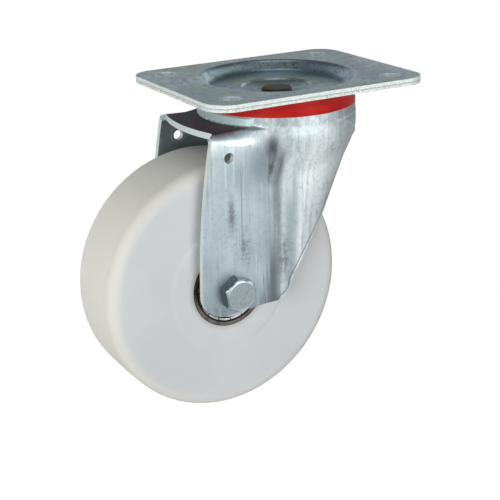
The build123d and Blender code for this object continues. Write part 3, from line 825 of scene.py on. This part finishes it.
# %% Axle bolt and nut
play = 0.02 * MM
bolt_radius, bolt_flats = 6 * MM, 18.5 * MM
bolt_pitch, bolt_groove = 1.75 * MM, 0.75 * MM
bolt_length = bolt_high[1] - bolt_low[1]
head_height = -leg_side - bolt_low[1]
face_radius, dome_slope = 8.25 * MM, 0.55
bolt_head = [(0, 0), (0, 4 * MM), (0, 7.6 * MM), (0, face_radius - 0.25 * MM)]
for run in (0.0, 0.7 * MM, 1.4 * MM, 2.5 * MM):
    bolt_head.append((run * dome_slope + 0.05 * MM, face_radius + run))
bolt_head += [(1.7 * MM, bolt_flats), (head_height - 0.3 * MM, bolt_flats)]
bolt_head += [(head_height, bolt_flats * 0.6), (head_height, bolt_radius)]
bolt_end = threaded_end(bolt_length - 16 * MM, bolt_length, bolt_radius, 1 * MM, bolt_pitch)
bar("axle_bolt_with_thread", "axle_bolt", np.array([axle[0], bolt_low[1], axle[2]]), (0, 1, 0),
    bolt_head + bolt_end, zinc_small, "fork", bolt_flats,
    thread=(bolt_length - 15 * MM, bolt_pitch, bolt_groove))

nut_low, nut_high = corners("axle_nut")
bar("axle_nut_chamfered", "axle_nut", np.array([axle[0], nut_low[1], axle[2]]), (0, 1, 0),
    nut_stations(nut_high[1] - nut_low[1], bolt_flats, bolt_radius + play, 0.8 * MM),
    zinc_small, "fork", bolt_flats, hollow=True)

# %% King pin and its nut
pin_low, pin_high = corners("kingpin")
pin_radius, pin_flats = 8 * MM, 24 * MM
pin_pitch, pin_groove = 2 * MM, 0.85 * MM
pin_length = pin_high[2] - pin_low[2]
pin_head = [(0, 0), (0, 4 * MM), (0.03 * MM, 7.6 * MM), (0.1 * MM, 8.1 * MM), (0.35 * MM, 8.5 * MM)]
pin_head += [(0.9 * MM, 8.9 * MM), (1.0 * MM, 9 * MM), (2.2 * MM, 9 * MM), (2.2 * MM, pin_radius)]
pin_end = threaded_end(pin_length - 17 * MM, pin_length, pin_radius, 1 * MM, pin_pitch)
bar("kingpin_with_thread", "kingpin", np.array([0, 0, pin_high[2]]), (0, 0, -1),
    pin_head + pin_end, pin_steel, "plate",
    thread=(pin_length - 16 * MM, pin_pitch, pin_groove))

nut_low, nut_high = corners("kingpin_nut")
bar("kingpin_nut_chamfered", "kingpin_nut", np.array([0, 0, nut_high[2]]), (0, 0, -1),
    nut_stations(nut_high[2] - nut_low[2], pin_flats, pin_radius + play, 1 * MM),
    zinc_small, "plate", pin_flats, hollow=True)

# %% [markdown]
# A bearing shield is a thin pressed disc, held by a rim that is crimped into a groove of the
# outer ring. The crimp breaks the rim into short arcs. The disc is a ring of small steps, so its
# profile is a list of radii and depths, and a notch function of the angle lowers the rim to the
# disc wherever two arcs meet. Columns crowd together at the notches, where the shape changes.
# The finish has to know the rim from the disc, so the sunk points carry an attribute that it
# reads.

# %% Steel of the crimped shields
def shield_finish():
    """Light steel on the crimped rim and near black on the sunk disc inside it."""
    finish = Finish("crimped_shield_steel", "bearing_steel", {"Metallic": 0.85})
    smear = finish.noise(260.0, 3.0, 0.6)
    low_places = finish.node("ShaderNodeAttribute", {"attribute_name": "sunk"}, {}, "Fac")
    bright = finish.mix(grey(0.30), grey(0.50), smear.over(0.35, 0.65))
    near_black = finish.mix((0.006, 0.005, 0.005, 1), (0.020, 0.018, 0.017, 1), smear)
    finish.feed("Base Color", finish.mix(bright, near_black, low_places))
    finish.feed("Roughness", 0.34 + smear * 0.12)
    finish.bump(smear, 0.00005)
    return finish


# %% Crimped bearing shields
def crimped_shield(end, outward, finish):
    """One shield. `outward` is -1 on the near side of the wheel and 1 on the far side."""
    low, high = corners(f"{end}_bearing_outer_shield")
    front, back = (low[1], high[1]) if outward < 0 else (high[1], low[1])
    arcs, notch_half = 16, 0.035
    share = np.array([0.0, 0.030, 0.045, 0.10, 0.30, 0.50, 0.70, 0.90, 0.955, 0.970])
    angle = ((np.arange(arcs)[:, None] + share) * 2 * np.pi / arcs).ravel()
    notch = np.tile((np.abs(share - np.round(share)) < notch_half).astype(float), arcs)
    inner, outer = 14.9 * MM, (high[0] - low[0]) / 2
    radii = np.array([inner, 17.0 * MM, 19.0 * MM, 19.15 * MM, 19.35 * MM, 20.2 * MM, 20.32 * MM,
                      20.4 * MM, outer, outer, inner])
    raised = np.array([0, 0, 0, 0.8, 1, 1, 0.8, 0, 0, 0, 0])
    sunk_depth = 0.45 * MM
    depth = sunk_depth * (1 - raised[:, None] * (1 - notch))
    depth[-2:] = abs(back - front)
    points = np.stack([
        axle[0] + radii[:, None] * np.cos(angle),
        front - outward * depth,
        axle[2] + radii[:, None] * np.sin(angle),
    ], axis=-1)
    piece = piece_from_grid(f"{end}_crimped_shield", points, finish, "wheel", close_rows=True)
    depth = np.abs(vertex_places(piece.data)[:, 1] - front)
    layer = piece.data.attributes.new("sunk", "FLOAT", "POINT")
    layer.data.foreach_set("value", (depth > sunk_depth * 2 / 3).astype(np.float32))
    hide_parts(f"{end}_bearing_outer_shield")


crimped_steel = shield_finish()
for end, outward in (("near", -1), ("far", 1)):
    crimped_shield(end, outward, crimped_steel)

# %% [markdown]
# Where the head rises out of the deck, the press has folded and torn the sheet: a collar stands
# a little proud of the wall, and its lower edge is ragged. It could be sculpted, but a formula is
# easier to keep in step with the head. The collar is a thin loop of eight points carried round
# the front of the head. It thins out to nothing at both ends, and the lower points rise and fall
# by a sum of waves whose lengths don't fit each other, so the edge never repeats. Its zinc is
# duller and greener than the fork's, and along the torn edge it is flecked with painted glints
# and painted shade.

# %% Zinc on the collar
def collar_zinc():
    finish = Finish("zinc_on_collar", "zinc_plated_steel", {"Metallic": 0.55})
    haze = finish.noise(80.0, 3.0, 0.6)
    grain = finish.noise(1300.0, 3.0, 0.7)
    low_edge = finish.axes()[2].under(-20.2 * MM, -19.2 * MM)
    light = finish.mix((0.42, 0.56, 0.57, 1), (0.60, 0.74, 0.73, 1), haze)
    # Along the torn edge, flecks of painted shade and painted glints.
    torn_glints_and_shade = finish.mix(grey(0.06, 0.1), (0.68, 0.80, 0.77, 1), grain.over(0.40, 0.60))
    finish.feed("Base Color", finish.mix(light, torn_glints_and_shade, low_edge * 0.8))
    finish.feed("Roughness", 0.38 + haze * 0.15 + low_edge * 0.2)
    finish.bump(grain * low_edge + haze * 0.3, 0.00025)
    return finish


# %% Torn collar of the head
def ragged(angle, seed):
    """Uneven steps between 0 and 1: three waves of unlike length, cut off at top and bottom."""
    waves = np.sin(angle * 61 + seed) + np.sin(angle * 107 + 2 * seed)
    waves = waves + np.sin(angle * 173 + 3 * seed)
    return np.clip(0.5 + 0.45 * waves, 0, 1)


def torn_collar(finish):
    """An eight-point profile carried round the front of the head, with both ends drawn to a tip."""
    half_turn, columns = np.radians(43), 520
    angle = np.linspace(np.pi - half_turn, np.pi + half_turn, columns)
    end_fade = np.clip((half_turn - np.abs(angle - np.pi)) / np.radians(5), 0, 1) ** 0.5
    thick = 1.1 * MM * end_fade
    top = np.full_like(angle, head_top - 0.35 * MM)
    foot = deck_top + (0.15 + 0.75 * ragged(angle, 2)) * MM + 2.0 * MM * (1 - end_fade)
    lip = 0.35 * MM * ragged(angle, 3) * end_fade
    wall = head_radius - 0.3 * MM
    profile = [
        (wall, top),
        (head_radius + thick * 0.4, top),
        (head_radius + thick * 0.8, top - 0.5 * MM),
        (head_radius + thick, (top + foot) / 2),
        (head_radius + thick, foot + 1.2 * MM),
        (head_radius + thick + lip, foot + 0.5 * MM),
        (head_radius + thick * 0.7 + lip, foot),
        (wall, foot),
    ]
    radius = np.stack([np.broadcast_to(reach, angle.shape) for reach, _ in profile])
    height = np.stack([level for _, level in profile])
    ring = np.stack([radius * np.cos(angle), radius * np.sin(angle), height], axis=-1)
    tips = np.repeat(ring.mean(axis=0, keepdims=True), len(profile), axis=0)
    points = np.concatenate([tips[:, :1], ring, tips[:, -1:]], axis=1)
    piece_from_grid("torn_collar", points, finish, "fork", close_rows=True, close_columns=False)


torn_collar(collar_zinc())

# %% [markdown]
# A plain studio: a pale floor under the wheel, a white surround, and two soft lamps, one on the
# left and one in front. Metal shows what stands round it, so the surround matters as much to the
# zinc as the lamps do. Zinc turned a little to the right of the front is brightest, and both
# sides of the head fall off to grey, so the room is bright there and dimmer all round. One
# function of the direction says how bright, used by the floor and by the surround alike, and only
# mirror rays see it. The ceiling is dark but for a patch straight overhead, which lights the flat
# plate. The camera sees plain white.

# %% Brightness of the room
bright_side = (0.36, -0.933)
aim_point = (-0.02, 0, -0.1)


def room_tone(network, middle_x=0.0):
    """Brightness of the room in a mirror, by how far a direction turns from the bright side."""
    x, y, _ = network.axes()
    x = x - middle_x
    toward = (x * bright_side[0] + y * bright_side[1]) / ((x * x + y * y) ** 0.5 + 0.0001)
    return 0.45 + toward.over(0.45, 0.97) * 0.90


# %% Surround
def make_surround():
    """White round about for the camera, a room for mirrors, and a dim fill for all other light."""
    world = bpy.data.worlds.new("surround")
    world.use_nodes = True
    bpy.context.scene.world = world
    sky = Network(world.node_tree, "Generated")
    across, _, height = sky.axes()
    # Light that only fills in is dim overhead and strongest from low on the left.
    from_left = across.under(-0.9, -0.1) * height.under(0.10, 0.5)
    fill = 0.26 - height.over(0.0, 0.5) * 0.16 + from_left * 2.5
    # Mirrors show the walls, lighter at the far right, and the ceiling with its bright patch.
    walls = room_tone(sky) + across.over(0.62, 0.85) * 0.35
    ceiling_patch = height.over(0.92, 0.98) * 0.45
    mirror = walls * (1.0 - height.over(0.25, 0.70) * 0.90) + ceiling_patch
    glow = fill + sky.mirror_ray() * (mirror - fill)
    shader = world.node_tree.nodes["Background"]
    shader.inputs["Strength"].default_value = 1.0
    seen = sky.ray("Camera").math("MAXIMUM", glow)
    world.node_tree.links.new(seen.socket, shader.inputs["Color"])


# %% Floor
def make_floor():
    """A sheet that is white to the camera and to mirrors, and still takes the castor's shadow."""
    finish = Finish("studio_floor", "", {"Roughness": 0.9, "Base Color": grey(0.86)})
    camera_glow, glow_share = 1.5, 0.62
    # A sheet that only glowed would show no shadow, so the lit surface keeps a share of its own.
    in_mirror, to_camera = finish.mirror_ray(), finish.ray("Camera")
    room = in_mirror * room_tone(finish, aim_point[0])
    tone = (to_camera * camera_glow).math("MAXIMUM", room)
    glow = finish.node("ShaderNodeEmission", {}, {"Color": tone, "Strength": 1.0})
    share = to_camera.math("MAXIMUM", in_mirror) * glow_share
    inputs = {0: share, 1: finish.shader.outputs[0], 2: glow}
    mixed = finish.node("ShaderNodeMixShader", {}, inputs)
    finish.tree.links.new(mixed.socket, finish.tree.nodes["Material Output"].inputs[0])
    low, high = -6.0, 6.0
    level = wheel_low[2] - 0.2 * MM
    square = [(low, low, level), (high, low, level), (high, high, level), (low, high, level)]
    mesh = bpy.data.meshes.new("floor")
    mesh.from_pydata(square, [], [(0, 1, 2, 3)])
    mesh.materials.append(finish.material)
    floor = bpy.data.objects.new("floor", mesh)
    bpy.context.scene.collection.objects.link(floor)
    print("floor at z (mm):", round(level / MM, 2))


# %% Studio
def area_lamp(name, place, size, power):
    """A square white lamp that faces the middle of the castor."""
    lamp = bpy.data.lights.new(name, "AREA")
    lamp.shape, lamp.size, lamp.energy = "SQUARE", size, power
    stand = bpy.data.objects.new(name, lamp)
    aim = Vector(aim_point) - Vector(place)
    stand.location = place
    stand.rotation_euler = aim.to_track_quat("-Z", "Y").to_euler()
    bpy.context.scene.collection.objects.link(stand)
    print(name, "lamp at (m):", place)


make_floor()
area_lamp("key", (-1.15, -0.80, 0.16), size=0.9, power=7.5)
area_lamp("front", (0.34, -1.30, 0.06), size=0.8, power=6.5)
make_surround()
bpy.context.scene.view_settings.view_transform = "Standard"
